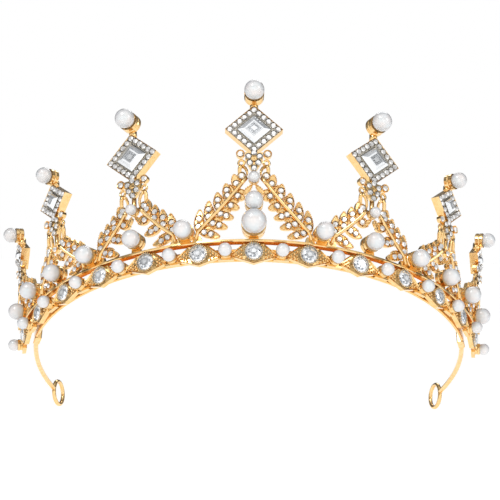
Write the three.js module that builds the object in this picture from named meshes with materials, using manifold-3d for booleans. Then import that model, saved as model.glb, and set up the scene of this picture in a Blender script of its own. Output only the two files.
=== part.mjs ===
// A bridal tiara: seven openwork spires on an arched band, set with pearls and crystals.
// Millimetres, +Z up. The wearer faces -Y, and left and right are as seen from the front.
// The origin is the centre of the band's arc, inside the wearer's head.
import * as THREE from "three";
import { mergeVertices } from "three/addons/utils/BufferGeometryUtils.js";
import Module from "manifold-3d";

const wasm = await Module();
wasm.setup();

// ---- Driving dimensions -------------------------------------------------------------------

const BAND_RADIUS = 75; // the arc through the fronts of the band crystals
const BAND_TILT = THREE.MathUtils.degToRad(31.8); // worn with its front up
const SPIRE_LEAN = THREE.MathUtils.degToRad(9.5); // the spires open outwards
const GAP = 0.3; // left between solids that touch on the real piece

const PITCH = 15.5; // band crystal to band crystal, along the arc
const SIDE_CRYSTALS = 6; // band crystals on each side of the centre one
const BAND_END = (SIDE_CRYSTALS + 0.5) * PITCH; // the last small pearl

const LOWEST_LEAF = 4.5; // the branches' feet, just above the rail
const CASTING_BACK = -1.3; // openwork plate, measured outwards from the spire's face
const CASTING_FACE = 0;
const BAND_BACK = -1.6; // the gem row
const BAND_FACE = -0.3;

const RAIL = { bottom: 2.75, top: 3.6, back: -1.2, front: 0.7, segments: 40 };
const STRIP = { bottom: -0.9, top: 2.9, back: -4.6, front: -3.6, end: 92, segments: 23 };
const SOCKET = { length: 4.6, height: 4.6, back: -5.8, front: -3.7, middle: 1 };
const ARM = { wire: 1.6, radius: 79, turn: 0.05, length: 38 };
const LOOP = { radius: 4, wire: 1.4 };

// A halo frame: its plate, the seat cut into it as a share of its size, and the stalk of the cup.
const HALO = { back: -2.6, front: 0.2, seat: 0.62, seatFloor: -1.6 };
const STALK = { width: 3, overlap: 2, back: -2.3, front: -0.6 };
const SQUARE_CRYSTAL = { depth: 1.3, foot: 0.55, standoff: -0.1 };

// Under a halo frame, measured from its lower corner: half of the heart-shaped setting of six
// stones as [half width, height], the stones beside it, the open rings and their arms.
const HEART = [[2.7, 0.7], [2.4, -2.6], [0, -5.6]];
const SIDE_STONE = { out: 3.7, radius: 1.4 };
const RING = { out: 3.5, drop: 2.7, radius: 1.5, hole: 0.6 };
const SPINE_WIDTH = 1.2;

// A branch: a leaf every so far along its span, longer towards the foot of the stem.
const STEM = { width: 1.1, start: 2, end: 3, sag: [-0.6, -0.9], steps: 3 };
const LEAF = { every: 3.1, first: 0.14, range: 0.72, length: 5, growth: 1.4, outer: 2.3, inner: 2.1 };
const PEARL_CLEARANCE = 3; // kept free for the pearls in the middle of a spire
const CENTRE_CLEARANCE = 3.9;

const BAND_CRYSTAL = { radius: 2.35, height: -0.2, depth: 0.5, crown: 0.7, table: 1.5, seat: 0.9 };
const EYE = [[-6.5, -1.9], [0, -3.5], [6.5, -1.9], [6.5, 0.5], [2.6, 2.1], [-2.6, 2.1], [-6.5, 0.5]];
const EDGE = { halfWidth: 2, bottom: -2.2, top: -1.6, back: -1.6, front: -0.6 };
const ROW_PEARL = { height: -0.2, standoff: 1.95, cupFront: 0.6 };

const SMALL_PEARL = 1.85; // radii of the pearls
const MEDIUM_PEARL = 2.6;
const LARGE_PEARL = 3.5;
const CUP_FROM = 0.7; // a cup's mouth, floor and back behind its pearl's centre, in pearl radii
const CUP_FLOOR = 1.25;
const CUP_TO = 1.65;

// place: arc length from the centre of the band; top: the top pearl's radius, height and standoff;
// lozenge: the halo frame's middle height, half width and half height; bud: the height where the
// branches start; spans: arc length to the foot of each branch, towards the centre and away from it.
const BUD_PEARL = 1.6;
const SPIRES = [
  { place: 0, top: [2.9, 49.1, 3.1], lozenge: [37.8, 8.35, 7.9], bud: 22, spans: [19, 19] },
  { place: 34.4, top: [2.9, 45.3, 3.3], lozenge: [33.7, 8.35, 7.9], bud: 16.4, spans: [15.4, 15] },
  { place: 64.9, top: [2.5, 40.1, 2.7], lozenge: [31.6, 6.8, 6.3], bud: 15.2, spans: [15.5, 11.6] },
  { place: 92, top: [2.4, 34.9, 2.2], lozenge: [27.3, 5.3, 4.9], bud: 14.4, spans: [15.5, 10.2] },
];
const LAST_WITH_BUD_PEARL = 34.4; // the spires further out have no small pearl at the bud
const JUNCTIONS = [19, 49.4, 76.5]; // pearls between two spires, as arc lengths
const JUNCTION_PEARL = { radius: MEDIUM_PEARL, height: 6.4, standoff: 3.2 };
const CENTRE_PEARL = { radius: MEDIUM_PEARL, height: 7.1, standoff: 1.9 };
const CENTRE_STACK = [
  { name: "large", radius: LARGE_PEARL, height: 8, standoff: 2.2 },
  { name: "upper", radius: MEDIUM_PEARL, height: 14.4, standoff: 2.2, footFace: -1.5 },
];

// ---- Materials ----------------------------------------------------------------------------

const FINISHES = {
  gold: { color: 0xe9c27c, roughness: 0.22, metalness: 1 },
  pearl: { color: 0xefece8, roughness: 0.25, metalness: 0 },
  crystal: { color: 0xe4eaec, roughness: 0.05, metalness: 0.1 },
};

function named(name, finish, geometry) {
  const mesh = new THREE.Mesh(geometry, new THREE.MeshStandardMaterial(FINISHES[finish]));
  mesh.name = name;
  return mesh;
}

// ---- Solids: cutting and joining ----------------------------------------------------------

function toSolid(geometry) {
  const bare = geometry.clone();
  bare.deleteAttribute("normal");
  bare.deleteAttribute("uv");
  const merged = mergeVertices(bare, 1e-4);
  return new wasm.Manifold(
    new wasm.Mesh({
      numProp: 3,
      vertProperties: new Float32Array(merged.attributes.position.array),
      triVerts: new Uint32Array(merged.index.array),
    }),
  );
}

function toGeometry(solid) {
  const mesh = solid.getMesh();
  const geometry = new THREE.BufferGeometry();
  geometry.setAttribute("position", new THREE.BufferAttribute(mesh.vertProperties, mesh.numProp));
  geometry.setIndex(new THREE.BufferAttribute(mesh.triVerts, 1));
  return geometry;
}

function join(geometries) {
  return toGeometry(geometries.map(toSolid).reduce((all, next) => all.add(next)));
}

function mirrored(geometry) {
  return toGeometry(toSolid(geometry).mirror([1, 0, 0]));
}

function cut(geometry, tools) {
  return toGeometry(tools.map(toSolid).reduce((left, tool) => left.subtract(tool), toSolid(geometry)));
}

// ---- Shapes, in a flat pattern: x along the band, z up, and outwards is -y ------------------

// An outline of [x, z] points, extruded outwards from back to front.
function plate(outline, back = CASTING_BACK, front = CASTING_FACE, holes = []) {
  const shape = new THREE.Shape(outline.map(([x, z]) => new THREE.Vector2(x, z)));
  for (const hole of holes) {
    shape.holes.push(new THREE.Path(hole.map(([x, z]) => new THREE.Vector2(x, z))));
  }
  const geometry = new THREE.ExtrudeGeometry(shape, { depth: front - back, bevelEnabled: false });
  return geometry.translate(0, 0, back).rotateX(Math.PI / 2);
}

function disc(x, z, radius, back = CASTING_BACK, front = CASTING_FACE, sides = 6) {
  const geometry = new THREE.CylinderGeometry(radius, radius, front - back, sides);
  return geometry.translate(x, -(back + front) / 2, z);
}

function ball(x, z, standoff, radius, sides = 6, rings = 4) {
  return new THREE.SphereGeometry(radius, sides, rings).translate(x, -standoff, z);
}

// A closed ring of points round an ellipse or, with four points, the corners of a lozenge.
function around(x, z, halfWidth, halfHeight, count = 6) {
  return Array.from({ length: count }, (_, i) => {
    const a = (i / count) * 2 * Math.PI;
    return [x + halfWidth * Math.cos(a), z + halfHeight * Math.sin(a)];
  });
}

// A bar of even width along a curve in the pattern.
function bar(curve, width, steps, back = CASTING_BACK, front = CASTING_FACE) {
  const side = (sign) =>
    Array.from({ length: steps + 1 }, (_, i) => {
      const point = curve.getPoint(i / steps);
      const along = curve.getTangent(i / steps);
      return [point.x - (sign * along.y * width) / 2, point.y + (sign * along.x * width) / 2];
    });
  return plate([...side(-1), ...side(1).reverse()], back, front);
}

// A pointed leaf from its base to its tip.
function leaf(base, tip, width) {
  const along = tip.clone().sub(base);
  const across = new THREE.Vector2(-along.y, along.x).setLength(width / 2);
  const at = (t, w) => base.clone().addScaledVector(along, t).addScaledVector(across, w).toArray();
  return plate([at(0, -0.45), at(0.45, -1), at(1, 0), at(0.45, 1), at(0, 0.45)]);
}

// The cup behind a pearl: a short cylinder with a dished mouth that clears the pearl.
function cup(z, standoff, radius) {
  const mouth = Math.sqrt(1 - CUP_FROM ** 2) * radius + GAP;
  const profile = [
    [0, CUP_FLOOR],
    [mouth, CUP_FROM],
    [radius, CUP_FROM],
    [radius, CUP_TO],
    [0, CUP_TO],
  ].map(([r, behind]) => new THREE.Vector2(r, behind * radius));
  return new THREE.LatheGeometry(profile, 8).translate(0, -standoff, z);
}

// ---- From the pattern to the arched band ----------------------------------------------------

// Bends a pattern round the band at a place: x keeps its length at its own height on the cone.
function bend(geometry, place = 0) {
  const [sin, cos] = [Math.sin(SPIRE_LEAN), Math.cos(SPIRE_LEAN)];
  const position = geometry.attributes.position;
  for (let i = 0; i < position.count; i += 1) {
    const [x, y, z] = [position.getX(i), position.getY(i), position.getZ(i)];
    const angle = place / BAND_RADIUS + x / (BAND_RADIUS + z * sin);
    const radius = BAND_RADIUS + z * sin - y * cos;
    position.setXYZ(i, radius * Math.sin(angle), -radius * Math.cos(angle), z * cos + y * sin);
  }
  return geometry;
}

// Leans a pattern without bending it: it stays flat, tangent to the band.
function leanBack(geometry) {
  return geometry.rotateX(SPIRE_LEAN).translate(0, -BAND_RADIUS, 0);
}

// A group turned to a place on the band, where leaning pieces are added at their own positions.
function station(place) {
  const turned = new THREE.Group();
  turned.rotation.z = place / BAND_RADIUS;
  const leaning = new THREE.Group();
  leaning.position.y = -BAND_RADIUS;
  leaning.rotation.x = SPIRE_LEAN;
  turned.add(leaning);
  tiara.add(turned);
  return { turned, leaning };
}

function addPearl(place, name, radius, height, standoff) {
  const pearl = named(name, "pearl", new THREE.SphereGeometry(radius, 10, 7));
  pearl.position.set(0, -standoff, height);
  station(place).leaning.add(pearl);
}

// A slab along the band, upright and made of flat facets.
function arcSlab({ back, front, bottom, top }, from, to, steps) {
  const places = Array.from({ length: steps + 1 }, (_, i) => from + ((to - from) * i) / steps);
  const outline = [
    ...places.map((place) => arcPoint(BAND_RADIUS + front, place)),
    ...places.reverse().map((place) => arcPoint(BAND_RADIUS + back, place)),
  ];
  const shape = new THREE.Shape(outline);
  const slab = new THREE.ExtrudeGeometry(shape, { depth: top - bottom, bevelEnabled: false });
  return slab.translate(0, 0, bottom);
}

function arcPoint(radius, place) {
  const angle = place / BAND_RADIUS;
  return new THREE.Vector2(radius * Math.sin(angle), -radius * Math.cos(angle));
}

// ---- The tiara ----------------------------------------------------------------------------

const tiara = new THREE.Group();
tiara.rotation.x = -BAND_TILT;

// -- Spires

// One laurel branch, running down from beside the bud to the foot at +x, as plates. Its inner
// leaves point at the pearls in the middle and stop short of them.
function branch(bud, span, clearOfPearls) {
  const top = new THREE.Vector2(STEM.start, bud + 0.2);
  const foot = new THREE.Vector2(span - STEM.end, LOWEST_LEAF);
  const sag = top.clone().add(foot).multiplyScalar(0.5).add(new THREE.Vector2(...STEM.sag));
  const stem = new THREE.QuadraticBezierCurve(top, sag, foot);
  const outerLeaves = Math.round(span / LEAF.every) - 1;
  const pieces = [bar(stem, STEM.width, STEM.steps)];
  for (let i = 0; i < outerLeaves; i += 1) {
    const t = LEAF.first + (LEAF.range * i) / (outerLeaves - 1);
    const length = LEAF.length + LEAF.growth * t;
    const base = stem.getPoint(t);
    const upwards = new THREE.Vector2(0.2 - 0.4 * t, length);
    pieces.push(leaf(base, base.clone().add(upwards), LEAF.outer));
    if (i === 0) continue;
    const low = stem.getPoint(t + 0.06);
    const tipHeight = Math.max(low.y - length / 4, LOWEST_LEAF + 0.6);
    const tip = new THREE.Vector2(Math.max(low.x - length, clearOfPearls), tipHeight);
    pieces.push(leaf(low, tip, LEAF.inner));
  }
  return pieces;
}

// The heart under the halo frame, the two open rings, and the boss and pearl between the branches.
function neck(corner, bud, hasBudPearl) {
  const rightHalf = HEART.map(([x, z]) => [x, corner + z]);
  const leftHalf = rightHalf.slice(0, -1).map(([x, z]) => [-x, z]);
  const spine = new THREE.LineCurve(new THREE.Vector2(0, corner - 4), new THREE.Vector2(0, bud));
  const pieces = [
    plate([...rightHalf, ...leftHalf.reverse()]),
    bar(spine, SPINE_WIDTH, 1),
    disc(0, bud, BUD_PEARL),
  ];
  if (hasBudPearl) pieces.push(ball(0, bud, BUD_PEARL - 0.3, BUD_PEARL));
  const ringHeight = corner - RING.drop;
  for (const side of [-1, 1]) {
    const ring = around(side * RING.out, ringHeight, RING.radius, RING.radius);
    const hole = around(side * RING.out, ringHeight, RING.hole, RING.hole, 4);
    const arm = new THREE.LineCurve(
      new THREE.Vector2(side * RING.out, ringHeight - 1),
      new THREE.Vector2(side * (STEM.start + 0.2), bud - 0.4),
    );
    pieces.push(disc(side * SIDE_STONE.out, corner, SIDE_STONE.radius));
    pieces.push(plate(ring, CASTING_BACK, CASTING_FACE, [hole]));
    pieces.push(bar(arm, STEM.width, 1));
  }
  return pieces;
}

// The halo frame, open at the front for its crystal, with the top pearl's cup on its upper corner.
function head({ top: [radius, height, standoff], lozenge: [middle, halfWidth, halfHeight] }) {
  const seat = around(0, middle, halfWidth * HALO.seat, halfHeight * HALO.seat, 4);
  const frame = cut(plate(around(0, middle, halfWidth, halfHeight, 4), HALO.back, HALO.front), [
    plate(seat, HALO.seatFloor, 1),
  ]);
  const stalk = bar(
    new THREE.LineCurve(
      new THREE.Vector2(0, middle + halfHeight - STALK.overlap),
      new THREE.Vector2(0, height),
    ),
    STALK.width,
    1,
    STALK.back,
    STALK.front,
  );
  const clearance = ball(0, height, standoff, radius + GAP, 8, 6);
  return join([frame, cut(stalk, [clearance]), cup(height, standoff, radius)]);
}

function addSpire(spire, side, name) {
  const [middle, halfWidth, halfHeight] = spire.lozenge;
  const [towards, away] = side < 0 ? [...spire.spans].reverse() : spire.spans;
  const clearOfPearls = spire.place === 0 ? CENTRE_CLEARANCE : PEARL_CLEARANCE;
  const openwork = [
    ...neck(middle - halfHeight, spire.bud, spire.place <= LAST_WITH_BUD_PEARL),
    ...branch(spire.bud, away, clearOfPearls),
    ...branch(spire.bud, towards, clearOfPearls).map(mirrored),
  ];
  const { turned, leaning } = station(side * spire.place);
  turned.add(named(`spire_${name}`, "gold", join([bend(join(openwork)), leanBack(head(spire))])));

  const crystal = new THREE.CylinderGeometry(1, SQUARE_CRYSTAL.foot, SQUARE_CRYSTAL.depth, 4);
  const fit = HALO.seat - GAP / (halfHeight * Math.SQRT1_2);
  crystal.scale(halfWidth * fit, 1, halfHeight * fit);
  crystal.translate(0, -SQUARE_CRYSTAL.standoff, middle);
  leaning.add(named(`square_crystal_${name}`, "crystal", crystal));
  addPearl(side * spire.place, `top_pearl_${name}`, ...spire.top);
}

// -- Names and sides of what stands at the centre and at places 1, 2, 3 ... to each side of it
function bothSides(places, add) {
  places.forEach((place, i) => {
    if (place === 0) {
      add(i, 1, "centre");
      return;
    }
    const number = places[0] === 0 ? i : i + 1;
    add(i, -1, `left_${number}`);
    add(i, 1, `right_${number}`);
  });
}

bothSides(SPIRES.map((spire) => spire.place), (i, side, name) => addSpire(SPIRES[i], side, name));

// -- The upper rail, with the cups of the junction pearls and of the pearls under the spires
const railPieces = [arcSlab(RAIL, 2 - BAND_END, BAND_END - 2, RAIL.segments)];

function addRailPearl(place, name, { radius, height, standoff, footFace }) {
  const face = footFace ?? standoff - radius - GAP;
  const [bottom, top] = [RAIL.top - 0.3, height - radius / 2];
  const outline = [[-1.5, bottom], [1.5, bottom], [1.2, top], [-1.2, top]];
  const foot = plate(outline, Math.min(standoff - CUP_TO * radius, face - 1), face);
  railPieces.push(bend(join([cup(height, standoff, radius), foot]), place));
  addPearl(place, name, radius, height, standoff);
}

bothSides(JUNCTIONS, (i, side, name) => {
  addRailPearl(side * JUNCTIONS[i], `junction_pearl_${name}`, JUNCTION_PEARL);
});
bothSides(SPIRES.map((spire) => spire.place), (i, side, name) => {
  if (i > 0) addRailPearl(side * SPIRES[i].place, `centre_pearl_${name}`, CENTRE_PEARL);
});
for (const pearl of CENTRE_STACK) addRailPearl(0, `centre_pearl_${pearl.name}`, pearl);
tiara.add(named("upper_rail", "gold", join(railPieces)));

// -- The gem row: eye-shaped settings and small pearls in turn, on a thin lower edge
const rowPieces = [];

function addEye(place, name) {
  const { radius, height, depth, crown, table, seat } = BAND_CRYSTAL;
  const hollow = disc(0, height, radius + GAP, BAND_FACE - seat, 1, 8);
  rowPieces.push(bend(cut(plate(EYE, BAND_BACK, BAND_FACE), [hollow]), place));
  const profile = [[0, -depth], [radius, -depth], [radius, 0], [table, crown], [0, crown]];
  const crystal = new THREE.LatheGeometry(profile.map(([r, h]) => new THREE.Vector2(r, h)), 8);
  const mesh = named(name, "crystal", crystal);
  mesh.rotation.x = Math.PI;
  mesh.position.z = height;
  station(place).leaning.add(mesh);
}

function addRowPearl(place) {
  const { halfWidth, bottom, top, back, front } = EDGE;
  const { height, standoff, cupFront } = ROW_PEARL;
  const edge = [[-halfWidth, bottom], [halfWidth, bottom], [halfWidth, top], [-halfWidth, top]];
  rowPieces.push(bend(plate(edge, back, front), place));
  rowPieces.push(bend(disc(0, height, SMALL_PEARL + 0.1, BAND_BACK, cupFront), place));
  rowPieces.push(bend(ball(0, height, standoff, SMALL_PEARL), place));
}

const crystalPlaces = Array.from({ length: SIDE_CRYSTALS + 1 }, (_, i) => i * PITCH);
bothSides(crystalPlaces, (i, side, name) => addEye(side * crystalPlaces[i], `band_crystal_${name}`));
for (let i = 0; i <= SIDE_CRYSTALS; i += 1) {
  for (const side of [-1, 1]) addRowPearl(side * (i + 0.5) * PITCH);
}
tiara.add(named("gem_row", "gold", join(rowPieces)));

// -- The headband strip behind the gem row: flat facets, upright in the band's plane
tiara.add(named("headband_strip", "gold", arcSlab(STRIP, -STRIP.end, STRIP.end, STRIP.segments)));

// -- Sockets and wire arms with their end loops
function addArm(side, name) {
  const socketFrom = STRIP.end + GAP;
  const socketTo = socketFrom + SOCKET.length;
  const slab = {
    back: SOCKET.back,
    front: SOCKET.front,
    bottom: SOCKET.middle - SOCKET.height / 2,
    top: SOCKET.middle + SOCKET.height / 2,
  };
  tiara.add(named(`arm_socket_${name}`, "gold", arcSlab(slab, side * socketFrom, side * socketTo, 1)));

  const start = arcPoint(BAND_RADIUS + (SOCKET.back + SOCKET.front) / 2, socketTo + GAP);
  const heading = (socketTo + GAP) / BAND_RADIUS + ARM.turn;
  const point = (s) => {
    const a = heading + s / ARM.radius;
    return new THREE.Vector3(
      side * (start.x + ARM.radius * (Math.sin(a) - Math.sin(heading))),
      start.y - ARM.radius * (Math.cos(a) - Math.cos(heading)),
      SOCKET.middle,
    );
  };
  const steps = 10;
  const path = new THREE.CatmullRomCurve3(
    Array.from({ length: steps + 1 }, (_, i) => point((ARM.length * i) / steps)),
  );
  const wire = new THREE.Shape(
    around(0, 0, ARM.wire / 2, ARM.wire / 2).map(([x, y]) => new THREE.Vector2(x, y)),
  );
  const arm = new THREE.ExtrudeGeometry(wire, { steps, extrudePath: path });
  const end = heading + ARM.length / ARM.radius;
  const centre = point(ARM.length + LOOP.radius - 0.2);
  const loop = new THREE.TorusGeometry(LOOP.radius, LOOP.wire / 2, 6, 18)
    .rotateX(Math.PI / 2)
    .rotateZ(side * end)
    .translate(centre.x, centre.y, centre.z);
  tiara.add(named(`arm_${name}`, "gold", join([arm, loop])));
}

addArm(-1, "left");
addArm(1, "right");

export default tiara;
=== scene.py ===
# %% [markdown]
# # A bridal tiara in pale gold, pearls and crystals
# Seven openwork spires stand on an arched band. The solid model comes first: it fixes every size and place.
# This script then dresses it, piece by piece, with the castings, stones and pearls that a maker would set.

import math

import bmesh
import bpy
from mathutils import Matrix, Vector


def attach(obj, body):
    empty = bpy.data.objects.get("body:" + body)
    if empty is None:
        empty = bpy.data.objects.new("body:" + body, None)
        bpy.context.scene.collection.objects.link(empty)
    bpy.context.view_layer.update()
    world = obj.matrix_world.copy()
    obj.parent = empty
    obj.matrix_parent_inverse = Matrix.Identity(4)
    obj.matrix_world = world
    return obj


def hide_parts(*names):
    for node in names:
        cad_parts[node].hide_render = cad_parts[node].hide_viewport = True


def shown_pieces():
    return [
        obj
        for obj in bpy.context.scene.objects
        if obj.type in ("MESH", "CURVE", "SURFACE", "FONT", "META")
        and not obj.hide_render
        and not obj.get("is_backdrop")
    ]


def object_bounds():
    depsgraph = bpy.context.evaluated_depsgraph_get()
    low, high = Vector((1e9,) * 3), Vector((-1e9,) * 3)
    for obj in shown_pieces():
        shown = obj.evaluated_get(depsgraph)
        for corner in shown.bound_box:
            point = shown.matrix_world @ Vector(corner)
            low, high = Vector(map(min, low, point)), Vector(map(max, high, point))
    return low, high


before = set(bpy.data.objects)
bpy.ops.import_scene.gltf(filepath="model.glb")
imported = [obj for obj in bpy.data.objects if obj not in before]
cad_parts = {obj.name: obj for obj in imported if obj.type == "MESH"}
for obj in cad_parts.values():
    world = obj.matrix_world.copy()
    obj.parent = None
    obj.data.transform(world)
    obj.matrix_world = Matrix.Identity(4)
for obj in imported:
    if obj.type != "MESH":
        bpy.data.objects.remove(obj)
solid_box = [list(corner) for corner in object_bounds()]
print("nodes:", len(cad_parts), "box in metres:", [[round(v, 4) for v in c] for c in solid_box])

# %% [markdown]
# ## The camera
# A long lens from a little over a third of a metre keeps the band's arch from spreading too wide.
# The camera is placed by its own three directions, so its matrix is written from them.

# %% Camera
CAMERA_PLACE = (-0.00629, -0.3673, 0.0397)
RIGHT = Vector((0.99979, -0.01725, 0.0107)).normalized()
FORWARD = Vector((0.01725, 0.99986, 0.0001)).normalized()
UP = RIGHT.cross(FORWARD)

camera_data = bpy.data.cameras.new("camera")
camera_data.lens = 79.5
camera_data.sensor_width = 36
camera_data.clip_start, camera_data.clip_end = 0.02, 60
camera = bpy.data.objects.new("camera", camera_data)
camera_turn = Matrix((RIGHT, UP, -FORWARD)).transposed().to_4x4()
camera.matrix_world = Matrix.Translation(CAMERA_PLACE) @ camera_turn
bpy.context.scene.collection.objects.link(camera)
bpy.context.scene.camera = camera
print("camera looks along", [round(v, 3) for v in FORWARD])

# %% [markdown]
# ## The studio
# Jewellery is shot in a tent of white cloth, lit mainly from the viewer's side. Polished metal only shows
# what it mirrors, so the far wall is dim and the cloth has a darker panel between two bright ones: curved
# gold then runs from white to brown. An even white tent would be simpler, but the gold would look painted.
# The camera itself sees plain white behind the tiara.


# %% Tent
scene = bpy.context.scene
scene.view_settings.view_transform = "Standard"
tent = bpy.data.worlds.new("tent")
scene.world = tent
tent.use_nodes = True
tent_nodes, tent_links = tent.node_tree.nodes, tent.node_tree.links


def tent_step(axis, points):
    ramp = tent_nodes.new("ShaderNodeValToRGB")
    ramp.color_ramp.elements[0].position = points[0][0]
    ramp.color_ramp.elements[1].position = points[-1][0]
    for place, _ in points[1:-1]:
        ramp.color_ramp.elements.new(place)
    for stop, (_, grey) in zip(ramp.color_ramp.elements, points):
        stop.color = (grey, grey, grey, 1)
    span = tent_nodes.new("ShaderNodeMapRange")
    span.inputs["From Min"].default_value = -1
    tent_links.new(tent_axes.outputs[axis], span.inputs["Value"])
    tent_links.new(span.outputs["Result"], ramp.inputs["Fac"])
    return ramp.outputs["Color"]


def tent_mix(kind, factor, first, second):
    mix = tent_nodes.new("ShaderNodeMix")
    mix.data_type = "RGBA"
    mix.blend_type = kind
    mix.inputs["Factor"].default_value = 1
    if factor:
        tent_links.new(factor, mix.inputs["Factor"])
    tent_links.new(first, mix.inputs["A"])
    if second:
        tent_links.new(second, mix.inputs["B"])
    else:
        mix.inputs["B"].default_value = (1, 1, 1, 1)
    return mix.outputs["Result"]


tent_direction = tent_nodes.new("ShaderNodeTexCoord")
tent_axes = tent_nodes.new("ShaderNodeSeparateXYZ")
tent_links.new(tent_direction.outputs["Generated"], tent_axes.inputs[0])
walls = tent_step("Y", [(0, 1.35), (0.25, 1.2), (0.45, 0.8), (0.6, 0.35), (1, 0.18)])
panels = tent_step("Z", [(0.5, 1.0), (0.66, 1.0), (0.72, 0.3), (0.8, 0.3), (0.87, 1.0), (1, 1.0)])
ray = tent_nodes.new("ShaderNodeLightPath")
lit_walls = tent_mix("MULTIPLY", None, walls, panels)
seen = tent_mix("MIX", ray.outputs["Is Camera Ray"], lit_walls, None)
tent_links.new(seen, tent_nodes["Background"].inputs["Color"])
print("tent colour steps:", len([n for n in tent_nodes if n.type == "VALTORGB"]))

# %% [markdown]
# Three soft boxes add the highlights: a key from the upper left, a weak fill from the right and a rim from
# behind. The tiara stands high over a lit table, as if worn. The table is white paper that glows a little,
# so that it stays as pale as the tent.


# %% Soft boxes and table
TABLE_HEIGHT = -0.22
TABLE_HALF_WIDTH = 25


def soft_box(name, place, aim, size, power):
    light = bpy.data.lights.new(name, "AREA")
    light.shape = "RECTANGLE"
    light.size, light.size_y = size
    light.energy = power
    lamp = bpy.data.objects.new(name, light)
    lamp.location = place
    lamp.rotation_euler = (Vector(aim) - Vector(place)).to_track_quat("-Z", "Y").to_euler()
    scene.collection.objects.link(lamp)


soft_box("key", (-0.4, -0.5, 0.8), (0, -0.04, 0.05), (0.3, 0.3), 2.2)
soft_box("fill", (0.6, -0.45, 0.35), (0, -0.04, 0.05), (0.2, 0.4), 0.8)
soft_box("rim", (0.1, 0.65, 0.6), (0, -0.02, 0.05), (0.5, 0.2), 1.2)

table_mesh = bpy.data.meshes.new("lit_table")
table_drawing = bmesh.new()
table_place = Matrix.Translation((0, 0, TABLE_HEIGHT))
bmesh.ops.create_grid(
    table_drawing, x_segments=4, y_segments=4, size=TABLE_HALF_WIDTH, matrix=table_place
)
table_drawing.to_mesh(table_mesh)
table_drawing.free()
table = bpy.data.objects.new("lit_table", table_mesh)
scene.collection.objects.link(table)
paper = bpy.data.materials.new("white paper")
paper.use_nodes = True
paper_shader = paper.node_tree.nodes["Principled BSDF"]
paper_shader.inputs["Base Color"].default_value = (0.9, 0.9, 0.9, 1)
paper_shader.inputs["Roughness"].default_value = 0.9
paper_shader.inputs["Emission Color"].default_value = (1, 1, 1, 1)
paper_shader.inputs["Emission Strength"].default_value = 0.55
table_mesh.materials.append(paper)
table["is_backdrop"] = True

# %% [markdown]
# ## The finishes
# A finish starts from the Principled shader. Noise in object coordinates makes the plating a little uneven,
# and a bump node gives the cast surface its fine grain. Object coordinates are in metres, so a scale of 900
# makes patches about one millimetre across.


# %% A helper for the nodes that all finishes share
def new_finish(name, color, metallic, roughness):
    finish = bpy.data.materials.new(name)
    finish.use_nodes = True
    shader = finish.node_tree.nodes["Principled BSDF"]
    shader.inputs["Base Color"].default_value = (*color, 1)
    shader.inputs["Metallic"].default_value = metallic
    shader.inputs["Roughness"].default_value = roughness
    return finish, shader


def noise(finish, scale, detail=2.0):
    nodes, links = finish.node_tree.nodes, finish.node_tree.links
    where = nodes.new("ShaderNodeTexCoord")
    pattern = nodes.new("ShaderNodeTexNoise")
    pattern.inputs["Scale"].default_value = scale
    pattern.inputs["Detail"].default_value = detail
    links.new(where.outputs["Object"], pattern.inputs["Vector"])
    return pattern.outputs["Fac"]


def mix_colors(finish, factor, first, second):
    nodes, links = finish.node_tree.nodes, finish.node_tree.links
    ramp = nodes.new("ShaderNodeValToRGB")
    ramp.color_ramp.elements[0].position, ramp.color_ramp.elements[1].position = 0.3, 0.7
    ramp.color_ramp.elements[0].color = (*first, 1)
    ramp.color_ramp.elements[1].color = (*second, 1)
    links.new(factor, ramp.inputs["Fac"])
    return ramp.outputs["Color"]


def spread(finish, factor, low, high):
    nodes, links = finish.node_tree.nodes, finish.node_tree.links
    span = nodes.new("ShaderNodeMapRange")
    span.inputs["From Min"].default_value, span.inputs["From Max"].default_value = 0.3, 0.7
    span.inputs["To Min"].default_value, span.inputs["To Max"].default_value = low, high
    links.new(factor, span.inputs["Value"])
    return span.outputs["Result"]


def grain(finish, shader, scale, depth):
    nodes, links = finish.node_tree.nodes, finish.node_tree.links
    bump = nodes.new("ShaderNodeBump")
    bump.inputs["Distance"].default_value = depth
    bump.inputs["Strength"].default_value = 0.6
    links.new(noise(finish, scale, 3), bump.inputs["Height"])
    links.new(bump.outputs["Normal"], shader.inputs["Normal"])


# %% [markdown]
# Pale gold plate mirrors the white tent, so its colour is light. Where gold faces gold, as inside the cups
# and under the rail, the light bounces twice and turns amber: those faces get painted shade, a deep amber
# colour of their own.


# %% Gold, gold with painted amber shade and the grey metal between the small stones
def metal(name, pale, rich, roughness, patches=900, shine=1.0, grain_depth=0.000003):
    finish, shader = new_finish(name, pale, shine, roughness[0])
    links = finish.node_tree.links
    links.new(mix_colors(finish, noise(finish, patches), pale, rich), shader.inputs["Base Color"])
    links.new(spread(finish, noise(finish, patches * 2), *roughness), shader.inputs["Roughness"])
    grain(finish, shader, 5000, grain_depth)
    return finish


GOLD = metal("pale gold plate", (0.90, 0.64, 0.32), (0.80, 0.52, 0.21), (0.1, 0.22))
# Painted shade: amber gold for the faces in recesses and under other parts.
PAINTED_SHADE_GOLD = metal("gold painted amber as shade", (0.90, 0.50, 0.14), (0.80, 0.38, 0.07), (0.14, 0.28), shine=0.9)
GREY = metal("grey stone setting", (0.66, 0.62, 0.55), (0.47, 0.44, 0.38), (0.2, 0.36), 2200)
METALS = [GOLD, PAINTED_SHADE_GOLD, GREY]
GOLD_FACE, PAINTED_SHADE_FACE, GREY_FACE = range(3)
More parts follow.
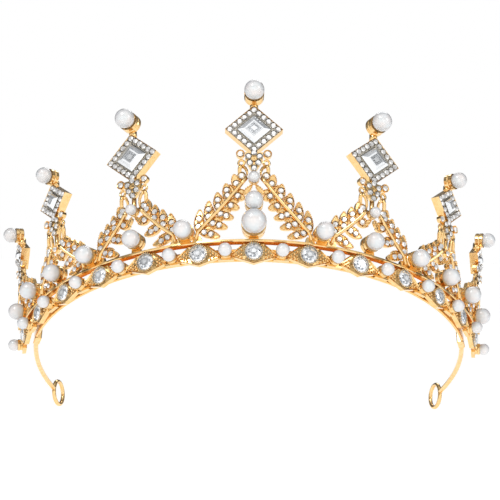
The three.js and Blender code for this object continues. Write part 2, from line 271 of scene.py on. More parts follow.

# %% [markdown]
# An imitation pearl is a bead in many thin coats of lacquer. Its rim is painted darker, grey and a little
# blue,
# as shade: Layer Weight blends the warm front colour into the grey edge colour where the surface turns away
# from the view. The colour also drifts between pink and green-grey, and a clear coat gives the highlight.


# %% Pearl
# Painted shade: the edge colour is mixed in towards the pearl's rim.
def shade_pearl_rim(finish, front, edge):
    facing = finish.node_tree.nodes.new("ShaderNodeLayerWeight")
    facing.inputs["Blend"].default_value = 0.5
    mix = finish.node_tree.nodes.new("ShaderNodeMix")
    mix.data_type = "RGBA"
    finish.node_tree.links.new(facing.outputs["Facing"], mix.inputs["Factor"])
    finish.node_tree.links.new(front, mix.inputs["A"])
    finish.node_tree.links.new(edge, mix.inputs["B"])
    return mix.outputs["Result"]


PEARL, pearl_shader = new_finish("pearl lacquer", (0.74, 0.73, 0.71), 0, 0.2)
pearl_front = mix_colors(PEARL, noise(PEARL, 420, 1), (0.80, 0.745, 0.72), (0.70, 0.745, 0.76))
# The grey edge colour is painted shade for the rim.
pearl_painted_rim_shade = mix_colors(PEARL, noise(PEARL, 300, 1), (0.52, 0.50, 0.50), (0.46, 0.48, 0.53))
PEARL.node_tree.links.new(shade_pearl_rim(PEARL, pearl_front, pearl_painted_rim_shade), pearl_shader.inputs["Base Color"])
PEARL.node_tree.links.new(spread(PEARL, noise(PEARL, 700), 0.14, 0.24), pearl_shader.inputs["Roughness"])
pearl_shader.inputs["Specular IOR Level"].default_value = 0.8
pearl_shader.inputs["Coat Weight"].default_value = 0.7
pearl_shader.inputs["Coat Roughness"].default_value = 0.06

# %% [markdown]
# The crystals have foil behind them, so they act like mirrors with many angles. Each facet gets a painted
# brightness of its own, stored on the face, and the material reads it: painted flashes on some facets,
# painted dark reflections on others.


# %% Crystal
# Painted glints: the facet value picks between the dark and the bright colour.
def facet_finish(name, dark, bright):
    finish, shader = new_finish(name, bright, 0.5, 0.05)
    nodes, links = finish.node_tree.nodes, finish.node_tree.links
    glint = nodes.new("ShaderNodeAttribute")
    glint.attribute_name = "facet"
    clouds = nodes.new("ShaderNodeMath")
    clouds.operation = "MULTIPLY_ADD"
    links.new(noise(finish, 1500, 1), clouds.inputs[0])
    clouds.inputs[1].default_value = 0.2
    links.new(glint.outputs["Fac"], clouds.inputs[2])
    ramp = nodes.new("ShaderNodeValToRGB")
    ramp.color_ramp.elements[0].position, ramp.color_ramp.elements[1].position = 0.25, 0.95
    ramp.color_ramp.elements[0].color = (*dark, 1)
    ramp.color_ramp.elements[1].color = (*bright, 1)
    links.new(clouds.outputs[0], ramp.inputs["Fac"])
    links.new(ramp.outputs["Color"], shader.inputs["Base Color"])
    links.new(spread(finish, noise(finish, 3000), 0.03, 0.09), shader.inputs["Roughness"])
    shader.inputs["Coat Weight"].default_value = 1
    shader.inputs["Coat Roughness"].default_value = 0.02
    return finish


CRYSTAL = facet_finish("foiled crystal", (0.20, 0.22, 0.25), (0.93, 0.95, 0.97))
SMALL_CRYSTAL = facet_finish("small foiled crystal", (0.34, 0.33, 0.33), (0.96, 0.95, 0.94))
# Painted glint values, given to the facets in turn, and the table's.
GLINT_TONES = (0.9, 0.35, 0.75, 0.15, 1.0, 0.5, 0.85, 0.25, 0.65)
TABLE_GLINT = 0.8
print("finishes:", [m.name for m in bpy.data.materials])

# %% [markdown]
# ## From a flat drawing to the arched band
# A maker casts the openwork flat and bends it round a former. The same order works here: each piece is
# drawn flat in millimetres, with x along the band, y for the height and z outwards, and is bent last.
# Pearls and framed crystals are stiff, so they are only leaned and turned into place.

# %% The former
BAND_RADIUS = 75
BAND_TILT = math.radians(31.8)
SPIRE_LEAN = math.radians(9.5)
WORN = Matrix.Scale(0.001, 4) @ Matrix.Rotation(-BAND_TILT, 4, "X")


def bend(sheet, place):
    for v in sheet.verts:
        along, up, out = v.co
        cone = BAND_RADIUS + up * math.sin(SPIRE_LEAN)
        angle = place / BAND_RADIUS + along / cone
        radius = cone + out * math.cos(SPIRE_LEAN)
        rise = up * math.cos(SPIRE_LEAN) - out * math.sin(SPIRE_LEAN)
        v.co = WORN @ Vector((radius * math.sin(angle), -radius * math.cos(angle), rise))


def lean(sheet, place):
    turn = Matrix.Rotation(place / BAND_RADIUS, 4, "Z")
    tip = Matrix.Translation((0, -BAND_RADIUS, 0)) @ Matrix.Rotation(SPIRE_LEAN + math.pi / 2, 4, "X")
    sheet.transform(WORN @ turn @ tip)


def wear(sheet):
    sheet.transform(WORN)


# %% [markdown]
# ## The bench tools
# Small helpers that every later piece uses: take the faces or edges of new points, give them a metal, set a
# matrix, push a face outwards, and turn finished bmesh drawings into one object that rides with the tiara
# and stands for its solid. Faces and edges are gathered in order, never in a set, so every run is the same.


# %% Bench tools
def at(x, y, z=0.0):
    return Matrix.Translation((x, y, z))


def faces_of(points):
    return list(dict.fromkeys(f for v in points for f in v.link_faces))


def edges_of(points):
    return list(dict.fromkeys(e for v in points for e in v.link_edges))


def push(sheet, face, move):
    risen = bmesh.ops.extrude_face_region(sheet, geom=[face])["geom"]
    moved = [part for part in risen if isinstance(part, bmesh.types.BMVert)]
    bmesh.ops.translate(sheet, verts=moved, vec=move)
    return next(part for part in risen if isinstance(part, bmesh.types.BMFace)), moved


def paint(points, metal_index, smooth=False):
    for f in faces_of(points):
        f.material_index = metal_index
        f.smooth = smooth


# Painted glints: each facet gets a light or dark value in turn round the stone, the table its own.
def paint_facet_glints(sheet, points, first=0):
    layer = sheet.faces.layers.float["facet"]
    sheet.normal_update()
    faces = faces_of(points)
    middle = sum((f.calc_center_median() for f in faces), Vector()) / len(faces)

    def round_the_stone(f):
        out = f.calc_center_median() - middle
        return round(out.z, 2), round((math.atan2(out.y, out.x) + 0.1) % (2 * math.pi), 2)

    for i, f in enumerate(sorted(faces, key=round_the_stone)):
        f[layer] = TABLE_GLINT if abs(f.normal.z) > 0.95 else GLINT_TONES[(first + i * 4) % len(GLINT_TONES)]


def new_sheet():
    sheet = bmesh.new()
    sheet.faces.layers.float.new("facet")
    return sheet


def make_piece(name, sheets, finishes, replaces=()):
    mesh = bpy.data.meshes.new(name)
    whole = new_sheet()
    for sheet in sheets:
        bmesh.ops.recalc_face_normals(sheet, faces=sheet.faces)
        part = bpy.data.meshes.new("part")
        sheet.to_mesh(part)
        sheet.free()
        whole.from_mesh(part)
        bpy.data.meshes.remove(part)
    whole.to_mesh(mesh)
    whole.free()
    for finish in finishes:
        mesh.materials.append(finish)
    piece = bpy.data.objects.new(name, mesh)
    scene.collection.objects.link(piece)
    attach(piece, "root")
    if replaces:
        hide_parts(*replaces)
    return piece


# %% [markdown]
# ## Plates, rods, collets and beads
# Everything cast is made from four shapes. A plate is an outline pushed out to its thickness, with its
# face sunk inside a rim. A rod is a small round section pushed from point to point. A collet is a short cup
# that holds one stone. A bead is the tiny ball of milgrain work, so it needs only twenty faces.


# %% The four cast shapes
def plate(sheet, outline, back, face, rim=0.0, sink=0.0, metal_index=GOLD_FACE):
    corners = [sheet.verts.new((x, y, back)) for x, y in outline]
    bottom = sheet.faces.new(corners)
    top, top_points = push(sheet, bottom, (0, 0, face - back))
    if rim:
        bmesh.ops.inset_individual(sheet, faces=[top], thickness=rim, use_even_offset=True)
        bmesh.ops.translate(sheet, verts=top.verts[:], vec=(0, 0, -sink))
    paint(corners + top_points + top.verts[:], metal_index)
    return top


def rod(sheet, path, radius, metal_index=GOLD_FACE, sides=8):
    path = [Vector(p) for p in path]
    facing = (path[1] - path[0]).to_track_quat("Z", "Y").to_matrix().to_4x4()
    start = bmesh.ops.create_circle(
        sheet, cap_ends=True, segments=sides, radius=radius, matrix=Matrix.Translation(path[0]) @ facing
    )["verts"]
    points, cap = list(start), faces_of(start)[0]
    for here, there in zip(path, path[1:]):
        cap, moved = push(sheet, cap, there - here)
        points += moved
    paint(points, metal_index, smooth=True)


def collet(sheet, x, y, radius, back, face, wall=0.2, metal_index=GOLD_FACE, sides=10):
    points = bmesh.ops.create_cone(
        sheet, cap_ends=True, segments=sides, radius1=radius + wall, radius2=radius + wall,
        depth=face - back, matrix=at(x, y, (back + face) / 2),
    )["verts"]
    top = max(faces_of(points), key=lambda f: f.calc_center_median().z)
    bmesh.ops.inset_individual(sheet, faces=[top], thickness=wall * 0.7)
    bmesh.ops.translate(sheet, verts=top.verts[:], vec=(0, 0, -0.35))
    paint(points + top.verts[:], metal_index)


def bead(sheet, x, y, z, radius, metal_index=GOLD_FACE):
    points = bmesh.ops.create_icosphere(sheet, subdivisions=1, radius=radius, matrix=at(x, y, z))["verts"]
    paint(points, metal_index, smooth=True)


# %% [markdown]
# ## Small stones
# A chaton this small shows little more than its table and eight crown facets: a cone cut short, on a thin
# girdle. Each is turned a little and its painted glints start at another facet, so that they don't all flash
# together.

# %% Small stones
stone_count = 0


def small_stone(sheet, x, y, z, radius):
    global stone_count
    stone_count += 1
    turn = Matrix.Rotation(stone_count * 0.7, 4, "Z")
    crown = bmesh.ops.create_cone(
        sheet, cap_ends=True, segments=8, radius1=radius, radius2=radius * 0.62,
        depth=radius * 0.46, matrix=at(x, y, z + radius * 0.23) @ turn,
    )["verts"]
    paint(crown, 0)
    # Painted glints on the crown facets.
    paint_facet_glints(sheet, crown, stone_count)


# %% [markdown]
# ## A laurel leaf
# The outline is a circle drawn out to a point at its tip. Its face is sunk inside a rim, a row of milgrain
# beads follows the rim, and one or two stones stand on the face in collets.


# %% Leaf
def leaf_edge(t, length, width):
    angle = t * 2 * math.pi
    y = (1 - math.cos(angle)) / 2
    x = math.sin(angle) * (1 - 0.3 * y * y) * width / 2
    return x, y * length


def leaf(castings, stones, base, tip, width, stone_places=(), stone_radius=0.84, face=0.0):
    base, tip = Vector(base), Vector(tip)
    along = tip - base
    seat = at(base.x, base.y) @ Matrix.Rotation(math.atan2(-along.x, along.y), 4, "Z")

    def place(x, y):
        return (seat @ Vector((x, y, 0)))[:2]

    steps = 14
    outline = [place(*leaf_edge(i / steps, along.length, width)) for i in range(steps)]
    plate(castings, outline, -1.1, face, rim=0.2, sink=0.22)
    beads = round(along.length * 4.2)
    for i in range(beads):
        x, y = place(*leaf_edge((i + 0.5) / beads, along.length, width - 0.2))
        bead(castings, x, y, face + 0.02, 0.2)
    for share in stone_places:
        x, y = place(0, share * along.length)
        collet(castings, x, y, stone_radius, -0.9, face + 0.32, 0.16)
        small_stone(stones, x, y, face + 0.14, stone_radius)


# %% [markdown]
# ## A branch
# Each branch hangs from the small pearl down to the rail: a smooth rib with upright leaves outside it and
# leaves that point to the middle inside it. The leaves lengthen towards the foot.


# %% Branch
def stem_point(bud, span, t):
    top, foot = Vector((2.1, bud + 0.4)), Vector((span - 3.3, 6.4))
    middle = (top + foot) / 2 + Vector((-0.5, -0.8))
    return top * (1 - t) ** 2 + middle * 2 * t * (1 - t) + foot * t * t


def branch(castings, stones, bud, span, outer, inner, side):
    def flip(point):
        return side * point[0], point[1]

    stem = [stem_point(bud, span, i / 8) for i in range(9)]
    foot = stem[-1] + Vector((0.5, -2.1))
    rod(castings, [(*flip(p), 0.0) for p in (*stem, foot)], 0.58)
    shoe = [(foot.x - 1.7, 3.5), (foot.x + 1.1, 3.5), (foot.x + 0.9, 5.2), (foot.x - 1.2, 5.2)]
    plate(castings, [flip(p) for p in shoe][::side], -1.5, -0.3)
    for i in range(outer):
        t = 0.2 + 0.8 * i / max(outer - 1, 1) if outer > 1 else 0.6
        base = stem_point(bud, span, t)
        length = 3.9 + 2.8 * t
        tip = base + Vector((1.4 - 1.9 * t, length))
        places = (0.36,) if t < 0.4 else (0.24, 0.58)
        leaf(castings, stones, flip(base), flip(tip), 2.9, places, 0.9)
        filler = stem_point(bud, span, t - 0.1)
        leaf(castings, stones, flip(filler), flip(filler + Vector((0.9, 2.7 + t))), 1.7, face=-0.3)
    for i in range(inner):
        t = 0.3 + 0.68 * i / max(inner - 1, 1)
        base = stem_point(bud, span, t)
        length = min(2.3 + 4.6 * t, 6.4)
        tip = base + Vector((-0.93, -0.34)) * length
        tip.y = max(tip.y, 4.1)
        places = (0.42,) if t < 0.5 else (0.26, 0.58)
        leaf(castings, stones, flip(base), flip(tip), 2.7, places, 0.88, face=-0.1)
        filler = stem_point(bud, span, t - 0.08)
        leaf(castings, stones, flip(filler), flip(filler + Vector((-2.4 - t, -0.7))), 1.6, face=-0.35)
    leaf(castings, stones, flip((2.9, bud - 4.7)), flip((0.5, bud - 1.9)), 1.5)
    x, y = flip((3.5, bud + 0.9))
    collet(castings, x, y, 0.95, -1.1, 0.3, 0.3)
    small_stone(stones, x, y, 0.12, 0.95)


# %% [markdown]
# ## Under the framed crystal
# Six stones form a heart round one bead. A stone in a round collet stands at each side, over an open ring,
# and two thin arms on each side run down to the small pearl and leave a drop-shaped gap.

# %% Heart, open rings and their arms
HEART_STONES = [(-1.6, -0.8), (1.6, -0.8), (-1.2, -2.8), (1.2, -2.8), (0, -4.5), (0, 0.3)]


def open_ring(sheet, x, y, radius, wire):
    section = bmesh.ops.create_circle(
        sheet, cap_ends=False, segments=8, radius=wire,
        matrix=at(x + radius, y, -0.5) @ Matrix.Rotation(math.pi / 2, 4, "X"),
    )["verts"]
    edges = edges_of(section)
    made = bmesh.ops.spin(
        sheet, geom=section + edges, cent=(x, y, -0.5), axis=(0, 0, 1),
        angle=2 * math.pi, steps=16, use_merge=True,
    )["geom_last"]
    paint(section + [g for g in made if isinstance(g, bmesh.types.BMVert)], GOLD_FACE, smooth=True)


def heart(castings, stones, corner, bud):
    plate(
        castings,
        [(-2.6, corner + 0.7), (-2.5, corner - 2.2), (-1.2, corner - 4.4), (0, corner - 5.7),
         (1.2, corner - 4.4), (2.5, corner - 2.2), (2.6, corner + 0.7)],
        -1.3, -0.25,
    )
    for x, y in HEART_STONES:
        collet(castings, x, corner + y, 0.82, -0.3, 0.3, 0.14, GREY_FACE)
        small_stone(stones, x, corner + y, 0.12, 0.82)
    bead(castings, 0, corner - 2, 0.1, 0.45, GOLD_FACE)
    for side in (-1, 1):
        collet(castings, side * 3.9, corner, 0.95, -1.1, 0.35, 0.32)
        small_stone(stones, side * 3.9, corner, 0.16, 0.95)
        open_ring(castings, side * 3.6, corner - 2.7, 0.86, 0.36)
        drop = corner - 3.4 - bud
        outer = [(3.7, 1.0), (4.1, 0.75), (4.1, 0.45), (3.6, 0.2), (2.5, 0.0)]
        inner = [(3.4, 0.95), (2.5, 0.8), (2.0, 0.6), (1.9, 0.35), (2.2, 0.1)]
        for curve, wire in ((outer, 0.6), (inner, 0.5)):
            rod(castings, [(side * x, bud + share * drop, -0.5) for x, share in curve], wire)
    rod(castings, [(0, corner - 5, -0.8), (0, bud, -0.8)], 0.7)


# %% [markdown]
# ## The framed crystal
# A square frame on its corner holds a row of small stones in grey metal, with grains between them, between
# a thin gold wall outside and the seat of the large crystal inside. The side walls are deep and plain.


# %% Frame of small stones
def lozenge(middle, half_width, half_height):
    top, bottom = middle + half_height, middle - half_height
    return [(0, top), (-half_width, middle), (0, bottom), (half_width, middle)]


def halo(castings, stones, middle, half_width, half_height, per_side):
    edge = math.hypot(half_width, half_height)
    inner_radius = half_width * half_height / edge
    plate(castings, lozenge(middle, half_width, half_height), -2.6, 0.15, 0.28, 0.4)
    top = plate(castings, lozenge(middle, half_width - 0.42, half_height - 0.42), -0.5, -0.16)
    paint(top.verts, GREY_FACE)
    row_width, row_height = half_width - 1.35, half_height - 1.5
    corners = lozenge(middle, row_width, row_height)
    radius = min(0.88, math.hypot(row_width, row_height) / per_side / 2 - 0.06)
    for a, b in zip(corners, corners[1:] + corners[:1]):
        a, b = Vector(a), Vector(b)
        across = Vector((-(b - a).y, (b - a).x)).normalized()
        for i in range(per_side):
            spot = a.lerp(b, i / per_side)
            collet(castings, spot.x, spot.y, radius, -0.3, 0.12, 0.08, GREY_FACE, 8)
            small_stone(stones, spot.x, spot.y, 0.06, radius)
            between = a.lerp(b, (i + 0.5) / per_side)
            for sign in (-1, 1):
                grip = between + across * sign * radius * 0.86
                bead(castings, grip.x, grip.y, 0.02, 0.2, GREY_FACE)
    seat = 1 - (2.35 + radius * 0.1) / inner_radius
    wall = lozenge(middle, half_width * seat + 0.35, half_height * seat + 0.35)
    plate(castings, wall, -0.5, 0.3, 0.3, 0.5, GREY_FACE)
    return seat


# %% [markdown]
# The large stone is step cut: each crown step is pushed out and drawn in from the one below, up to a
# small square table. A smaller square inside the table, painted in light and dark parts, stands for the
# culet that shows through.


# %% Step-cut crystal
# Painted light and shade by the way each facet faces: the table bright, facets facing up dark, facets facing
# down bright.
def crown_glint(normal):
    if normal.z > 0.95:
        return 0.85
    if normal.y > 0.1:
        return 0.35 if normal.x > 0 else 0.5
    return 0.9 if normal.x > 0 else 0.75


def step_cut(stones, middle, half_width, half_height):
    girdle = bmesh.ops.create_circle(
        stones, cap_ends=True, segments=4, radius=1,
        matrix=at(0, middle, -0.2) @ Matrix.Diagonal((half_width, half_height, 1, 1)),
    )["verts"]
    points, top = list(girdle), faces_of(girdle)[0]
    for rise, draw in ((0.3, 1.0), (0.45, 0.8), (0.3, 0.76), (0.15, 0.76), (0.0, 0.45)):
        top, moved = push(stones, top, (0, 0, rise))
        bmesh.ops.scale(stones, verts=moved, vec=(draw, draw, 1), space=at(0, -middle))
        points += moved
    paint(points, 0)
    stones.normal_update()
    layer = stones.faces.layers.float["facet"]
    for f in faces_of(points):
        f[layer] = crown_glint(f.normal)
    # The culet's four parts get painted light and dark values.
    culet = bmesh.ops.poke(stones, faces=[top], offset=-0.1)["faces"]
    for f, glint in zip(culet, (0.35, 0.8, 0.95, 0.55)):
        f[layer] = glint


# %% [markdown]
# ## Pearls and their cups
# Every pearl sits in a dished cup of its own width. The cup is a short cylinder whose mouth is sunk, and
# a narrow groove round it catches the light as a dark line.


# %% Pearl and cup
def pearl(sheet, x, y, z, radius):
    points = bmesh.ops.create_uvsphere(
        sheet, u_segments=32, v_segments=20, radius=radius, matrix=at(x, y, z)
    )["verts"]
    paint(points, 0, smooth=True)


def cup(sheet, x, y, standoff, radius, sides=28):
    back, front = standoff - 1.65 * radius, standoff - 0.62 * radius
    depth = front - back
    profile = [
        (back, 0.86),
        (back + 0.2, 1.0),
        (back + 0.45 * depth, 1.0),
        (back + 0.55 * depth, 0.93),
        (back + 0.65 * depth, 1.0),
        (front, 1.0),
        (front, 0.88),
        (front - 0.5, 0.5),
    ]
    (height, share), *rest = profile
    points = list(bmesh.ops.create_circle(
        sheet, cap_ends=True, segments=sides, radius=radius * share, matrix=at(x, y, height)
    )["verts"])
    top = faces_of(points)[0]
    for next_height, next_share in rest:
        top, moved = push(sheet, top, (0, 0, next_height - height))
        draw = next_share / share
        bmesh.ops.scale(sheet, verts=moved, vec=(draw, draw, 1), space=at(-x, -y))
        points += moved
        height, share = next_height, next_share
    paint(points, GOLD_FACE)
    # The sunk mouth of the cup, under the pearl, is painted amber as shade.
    paint(top.verts, PAINTED_SHADE_FACE)


# %% [markdown]
# ## The seven spires
# Each spire gathers the parts above: top pearl and cup, framed crystal, heart and two branches. The three
# middle spires have a small pearl between the branches and the others a small stone. Sizes fall off from
# the middle to the sides.

# %% Spires
# Along the arc: place and, to the feet of the branches, spans. Flat: the top pearl's radius, height and
# standoff, the framed crystal's middle, half width and half height, and the height of the bud.
SPIRE_KEYS = ("place", "top", "lozenge", "bud", "bud_pearl", "spans", "leaves", "row")
SPIRES = [
    dict(zip(SPIRE_KEYS, values))
    for values in (
        (0, (2.9, 49.1, 3.1), (37.8, 8.35, 7.9), 22, True, (19, 19), (5, 5), 5),
        (34.4, (2.9, 45.3, 3.3), (33.7, 8.35, 7.9), 16.4, True, (15.4, 15), (4, 4), 5),
        (64.9, (2.5, 40.1, 2.7), (31.6, 6.8, 6.3), 15.2, False, (15.5, 11.6), (4, 3), 4),
        (92, (2.4, 34.9, 2.2), (27.3, 5.3, 4.9), 14.4, False, (15.5, 10.2), (4, 3), 3),
    )
]


def spire(name, spec, side):
    radius, height, standoff = spec["top"]
    middle, half_width, half_height = spec["lozenge"]
    corner, bud, place = middle - half_height, spec["bud"], side * spec["place"]
    openwork, chips = new_sheet(), new_sheet()
    heart(openwork, chips, corner, bud)
    for direction in (-1, 1):
        towards = direction != side
        span = spec["spans"][0 if towards else 1]
        count = spec["leaves"][0 if towards else 1]
        branch(openwork, chips, bud, span, count, max(count - 1, 2) if spec["place"] else count, direction)
    if spec["bud_pearl"]:
        small = new_sheet()
        cup(openwork, 0, bud, 1.3, 1.55, 16)
        pearl(small, 0, bud, 1.3, 1.6)
        bend(small, place)
        make_piece(f"spire_{name}_small_pearl", [small], [PEARL])
    else:
        collet(openwork, 0, bud, 0.9, -1.1, 0.35, 0.32)
        small_stone(chips, 0, bud, 0.16, 0.9)
    bend(openwork, place)
    bend(chips, place)

    head, head_chips, big = new_sheet(), new_sheet(), new_sheet()
    seat = halo(head, head_chips, middle, half_width, half_height, spec["row"])
    step_cut(big, middle, half_width * seat, half_height * seat)
    cup(head, 0, height, standoff, radius)
    rod(head, [(0, middle + half_height - 1.2, -1.4), (0, height - radius * 0.5, -1.4)], 1.2)
    top = new_sheet()
    pearl(top, 0, height, standoff, radius)
    for sheet in (head, head_chips, big, top):
        lean(sheet, place)

    make_piece(f"spire_{name}_casting", [openwork, head], METALS, [f"spire_{name}"])
    make_piece(f"spire_{name}_small_stones", [chips, head_chips], [SMALL_CRYSTAL])
    make_piece(f"step_cut_crystal_{name}", [big], [CRYSTAL], [f"square_crystal_{name}"])
    make_piece(f"pearl_top_{name}", [top], [PEARL], [f"top_pearl_{name}"])


BOTH_SIDES = ((-1, "left"), (1, "right"))

spire("centre", SPIRES[0], 1)
for i, spec in enumerate(SPIRES[1:], 1):
    for side, word in BOTH_SIDES:
        spire(f"{word}_{i}", spec, side)
print("small stones so far:", stone_count)

# %% [markdown]
# ## Rail, headband and gem row
# Long bars that follow the arc are spun: a small section is drawn once, at one end, and swept round the
# band's centre. The rail is thin and rounded in front, and its underside is painted amber as shade.


# %% Bars round the arc
def arc_bar(sheet, section, start, end, steps, metal_index=GOLD_FACE):
    corners = [sheet.verts.new((0, -(BAND_RADIUS + out), up)) for out, up in section]
    sheet.faces.new(corners)
    turn = Matrix.Rotation(start / BAND_RADIUS, 3, "Z")
    bmesh.ops.rotate(sheet, verts=corners, cent=(0, 0, 0), matrix=turn)
    geometry = corners + corners[0].link_faces[:] + edges_of(corners)
    angle = (end - start) / BAND_RADIUS
    bmesh.ops.spin(sheet, geom=geometry, cent=(0, 0, 0), axis=(0, 0, 1), angle=angle, steps=steps)
    for f in sheet.faces:
        f.material_index = metal_index


PITCH = 15.5
BAND_END = 6.5 * PITCH

rail = new_sheet()
RAIL_SECTION = [(-1.2, 2.75), (0.45, 2.75), (0.7, 2.95), (0.7, 3.4), (0.45, 3.6), (-1.2, 3.6)]
arc_bar(rail, RAIL_SECTION, 2 - BAND_END, BAND_END - 2, 150)
# The underside of the rail is painted amber as shade.
for f in rail.faces:
    if f.calc_center_median().z < 2.8:
        f.material_index = PAINTED_SHADE_FACE
wear(rail)
rail_sheets = [rail]

# name, place along the arc, and the pearl's radius, height and standoff
RAIL_PEARLS = [("centre_pearl_large", 0, 3.5, 8, 2.2), ("centre_pearl_upper", 0, 2.6, 14.4, 2.2)]
for side, word in BOTH_SIDES:
    for i, place in enumerate((19, 49.4, 76.5), 1):
        RAIL_PEARLS.append((f"junction_pearl_{word}_{i}", side * place, 2.6, 6.4, 3.2))
    for i, place in enumerate((34.4, 64.9, 92), 1):
        RAIL_PEARLS.append((f"centre_pearl_{word}_{i}", side * place, 2.6, 7.1, 1.9))

for node, place, radius, height, standoff in RAIL_PEARLS:
    stand, ball = new_sheet(), new_sheet()
    cup(stand, 0, height, standoff, radius)
    if node != "centre_pearl_upper":
        head_height = height - radius / 2
        outline = [(-1.5, 3.4), (1.5, 3.4), (1.2, head_height), (-1.2, head_height)]
        stand_back = max(-2, standoff - 1.6 * radius)
        # The stand behind the pearl is painted amber as shade.
        plate(stand, outline, stand_back, standoff - radius - 0.1, metal_index=PAINTED_SHADE_FACE)
    pearl(ball, 0, height, standoff, radius)
    bend(stand, place)
    lean(ball, place)
    rail_sheets.append(stand)
    make_piece(f"pearl_{node}", [ball], [PEARL], [node])
make_piece("rail_with_pearl_cups", rail_sheets, METALS, ["upper_rail"])

# %% [markdown]
# The gem row alternates eye-shaped settings and small pearls. An eye is a pointed plate with a raised rim,
# a deep round collet for its crystal and grains that fill its corners. Its crystal is brilliant cut: two
# rings of facets twisted against each other, up to a table whose middle is pressed in a little.


# %% Eye-shaped settings and round crystals
def brilliant(sheet, x, y, z, radius):
    points = list(bmesh.ops.create_circle(
        sheet, cap_ends=True, segments=12, radius=radius, matrix=at(x, y, z)
    )["verts"])
    top = faces_of(points)[0]
    half_facet = math.pi / 12
    steps = ((0.15, 1.0, 0), (0.38, 0.8, half_facet), (0.3, 0.68, half_facet), (0.0, 0.5, 0))
    for rise, draw, twist in steps:
        top, moved = push(sheet, top, (0, 0, rise))
        turn = Matrix.Rotation(twist, 3, "Z")
        bmesh.ops.scale(sheet, verts=moved, vec=(draw, draw, 1), space=at(-x, -y))
        bmesh.ops.rotate(sheet, verts=moved, cent=(x, y, 0), matrix=turn)
        points += moved
    bmesh.ops.triangulate(sheet, faces=[f for f in faces_of(points) if len(f.verts) == 4])
    poked = bmesh.ops.poke(sheet, faces=[top], offset=-0.12)
    points += poked["verts"]
    paint(points, 0)
    # Painted glints on the facets of the round crystal.
    paint_facet_glints(sheet, points, 1)


EYE_GRAINS = [(3.3, 0.5), (3.4, -0.7), (3.3, -1.6), (4.1, -0.2), (4.2, -1.2), (4.9, -0.8), (5.5, -1.0)]


def eye(sheet):
    outline = [(-6.3, -0.6), (-6.3, -1.5), (0, -3.6), (6.3, -1.5), (6.3, -0.6), (2.9, 2.1), (-2.9, 2.1)]
    plate(sheet, outline, -1.6, -0.1, 0.38, 0.5)
    collet(sheet, 0, -0.2, 2.4, -0.8, 0.35, 0.32, GREY_FACE, 28)
    for i in range(26):
        a = i / 26 * 2 * math.pi
        bead(sheet, 2.62 * math.cos(a), -0.2 + 2.62 * math.sin(a), 0.35, 0.2)
    for side in (-1, 1):
        for x, y in EYE_GRAINS:
            bead(sheet, side * x, y, -0.4, 0.36)


def row_pearl(castings, pearls, place):
    drawn, ball = new_sheet(), new_sheet()
    cup(drawn, 0, -0.2, 1.95, 1.8, 20)
    # The collet behind the row pearl is painted amber as shade.
    collet(drawn, 0, -0.2, 1.2, -1.6, -0.6, 0.5, PAINTED_SHADE_FACE, 16)
    plate(drawn, [(-2.2, -2.3), (2.2, -2.3), (2.2, -1.7), (-2.2, -1.7)], -1.8, -0.6)
    pearl(ball, 0, -0.2, 1.95, 1.85)
    bend(drawn, place)
    bend(ball, place)
    castings.append(drawn)
    pearls.append(ball)


row_castings, row_pearls = [], []
for i in range(-6, 7):
    word = "centre" if i == 0 else f"left_{-i}" if i < 0 else f"right_{i}"
    setting, round_stone = new_sheet(), new_sheet()
    eye(setting)
    brilliant(round_stone, 0, -0.2, -0.05, 2.32)
    bend(setting, i * PITCH)
    lean(round_stone, i * PITCH)
    row_castings.append(setting)
    make_piece(f"round_crystal_{word}", [round_stone], [CRYSTAL], [f"band_crystal_{word}"])
for i in range(14):
    row_pearl(row_castings, row_pearls, (i - 6.5) * PITCH)
make_piece("gem_row_casting", row_castings, METALS, ["gem_row"])
make_piece("gem_row_pearls", row_pearls, [PEARL])

# %% [markdown]
# ## Headband strip, sockets and wire arms
# The plain strip behind the gem row rests on the hair, and a socket at each end takes a wire arm. Both are
# short sections swept round the arc. The sockets also get a bevel, because a solid block shows its edges.


# %% Strip and sockets
strip = new_sheet()
STRIP_BACK, STRIP_FACE = -4.6, -3.6
STRIP_SECTION = [
    (STRIP_BACK, -0.7), (STRIP_BACK + 0.2, -0.9), (STRIP_FACE - 0.2, -0.9), (STRIP_FACE, -0.7),
    (STRIP_FACE, 2.7), (STRIP_FACE - 0.2, 2.9), (STRIP_BACK + 0.2, 2.9), (STRIP_BACK, 2.7),
]
arc_bar(strip, STRIP_SECTION, -92, 92, 120)
# The front face of the strip, under the rail and behind the gem row, is painted amber as shade.
for f in strip.faces:
    if abs(f.calc_center_median().xy.length - (BAND_RADIUS + STRIP_FACE)) < 0.12:
        f.material_index = PAINTED_SHADE_FACE
wear(strip)
make_piece("headband_inner_strip", [strip], METALS, ["headband_strip"])

for side, word in ((-1, "left"), (1, "right")):
    socket = new_sheet()
    arc_bar(socket, [(-5.8, -1.3), (-3.7, -1.3), (-3.7, 3.3), (-5.8, 3.3)], side * 92.3, side * 96.9, 2)
    bmesh.ops.recalc_face_normals(socket, faces=socket.faces)
    sharp = [e for e in socket.edges if len(e.link_faces) == 2 and e.calc_face_angle() > 0.8]
    bmesh.ops.bevel(socket, geom=sharp, offset=0.35, affect="EDGES", segments=2, profile=0.5, material=-1)
    wear(socket)
    make_piece(f"socket_{word}", [socket], METALS, [f"arm_socket_{word}"])

# %% [markdown]
# Each arm leaves its socket along the head and ends in a loop for a hair pin. Bending it point by point
# would work, but a round section spun about the arm's own centre gives an even curve. The loop is a second
# spin, turned upright at the end of the arm.

# %% Wire arms and their loops
ARM_RADIUS, ARM_LENGTH, ARM_START = 79, 38, 97.2
LOOP_RADIUS = 4


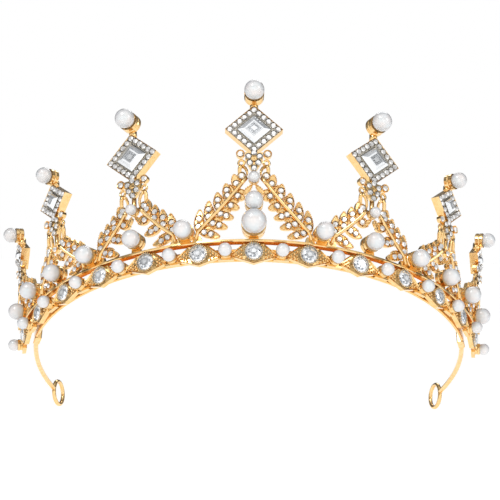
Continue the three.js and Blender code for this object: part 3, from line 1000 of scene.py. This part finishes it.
def wire_arm(side, word):
    heading = ARM_START / BAND_RADIUS + 0.05
    start_angle = ARM_START / BAND_RADIUS
    start = Vector((70.25 * math.sin(start_angle), -70.25 * math.cos(start_angle), 1.0))
    centre = start + ARM_RADIUS * Vector((-math.sin(heading), math.cos(heading), 0))
    facing_along = Matrix.Rotation(math.pi / 2, 4, "Y")
    on_edge = Matrix.Rotation(math.pi / 2, 4, "X")
    wire = new_sheet()
    section = bmesh.ops.create_circle(
        wire, cap_ends=True, segments=14, radius=0.8,
        matrix=Matrix.Translation(start) @ Matrix.Rotation(heading, 4, "Z") @ facing_along,
    )["verts"]
    geometry = section + faces_of(section) + edges_of(section)
    bmesh.ops.spin(wire, geom=geometry, cent=centre, axis=(0, 0, 1), angle=ARM_LENGTH / ARM_RADIUS, steps=48)
    end = heading + ARM_LENGTH / ARM_RADIUS
    middle = heading + (ARM_LENGTH + 3.8) / ARM_RADIUS
    hub = centre + ARM_RADIUS * Vector((math.sin(middle), -math.cos(middle), 0))
    loop_section = bmesh.ops.create_circle(
        wire, cap_ends=False, segments=12, radius=0.7, matrix=at(LOOP_RADIUS, 0) @ on_edge
    )["verts"]
    before = set(wire.verts) - set(loop_section)
    bmesh.ops.spin(
        wire, geom=loop_section + edges_of(loop_section), cent=(0, 0, 0), axis=(0, 0, 1),
        angle=2 * math.pi, steps=40, use_merge=True,
    )
    loop = [v for v in wire.verts if v not in before]
    to_arm_end = Matrix.Translation(hub) @ Matrix.Rotation(end, 4, "Z") @ on_edge
    bmesh.ops.transform(wire, verts=loop, matrix=to_arm_end)
    for f in wire.faces:
        f.smooth = True
    if side < 0:
        bmesh.ops.scale(wire, verts=wire.verts, vec=(-1, 1, 1))
    wear(wire)
    make_piece(f"wire_arm_{word}", [wire], METALS, [f"arm_{word}"])


wire_arm(-1, "left")
wire_arm(1, "right")

# %% [markdown]
# ## Last measurements
# The dressed tiara has to fill the same box as the solid model, so both boxes are measured and the largest
# difference between them is printed.

# %% Compare the two boxes
dressed_box = [list(corner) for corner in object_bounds()]
gaps = [abs(a - b) * 1000 for s, d in zip(solid_box, dressed_box) for a, b in zip(s, d)]
print("largest difference in mm:", max(gaps))
meshes = [piece.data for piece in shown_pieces() if piece.type == "MESH"]
print("triangles:", sum(len(p.vertices) - 2 for mesh in meshes for p in mesh.polygons))
